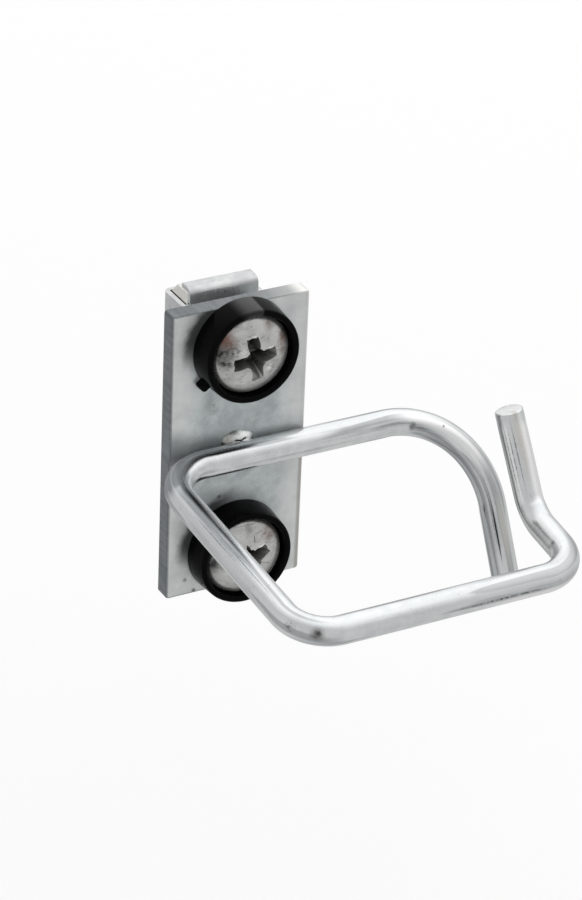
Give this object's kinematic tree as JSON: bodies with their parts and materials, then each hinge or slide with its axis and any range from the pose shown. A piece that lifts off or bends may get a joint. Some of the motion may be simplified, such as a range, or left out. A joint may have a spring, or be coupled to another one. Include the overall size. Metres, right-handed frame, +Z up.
{
  "type": "rack d-ring cable hook",
  "caption": "One-unit rack cable hook: a flat plate with a bent wire ring, open at one side, welded across its front, held by screws in cup washers and cage nuts.",
  "frame": {"origin": "on the back of the mounting plate, midway between the two screws", "axes": "+X to the right along the post's face, towards the ring's open side; +Y back through the post; +Z up"},
  "size_m": [0.0533, 0.0573, 0.048],
  "materials": {
    "galvanised_plate": "galvanised, satin, faint spangle",
    "zinc_wire": "bright zinc plate, smooth",
    "weld_metal": "zinc-plated weld, slightly rough",
    "black_nylon": "moulded, satin black",
    "zinc_screw": "zinc plate, slightly soiled",
    "spring_steel": "zinc-plated spring steel",
    "zinc_nut": "zinc plate"
  },
  "bodies": {
    "root": {"mounting_plate": "galvanised_plate", "wire_ring": "zinc_wire", "weld_above": "weld_metal", "weld_below": "weld_metal", "cup_washer_upper": "black_nylon", "screw_upper": "zinc_screw", "cage_upper": "spring_steel", "nut_upper": "zinc_nut", "cup_washer_lower": "black_nylon", "screw_lower": "zinc_screw", "cage_lower": "spring_steel", "nut_lower": "zinc_nut"}
  },
  "joints": []
}
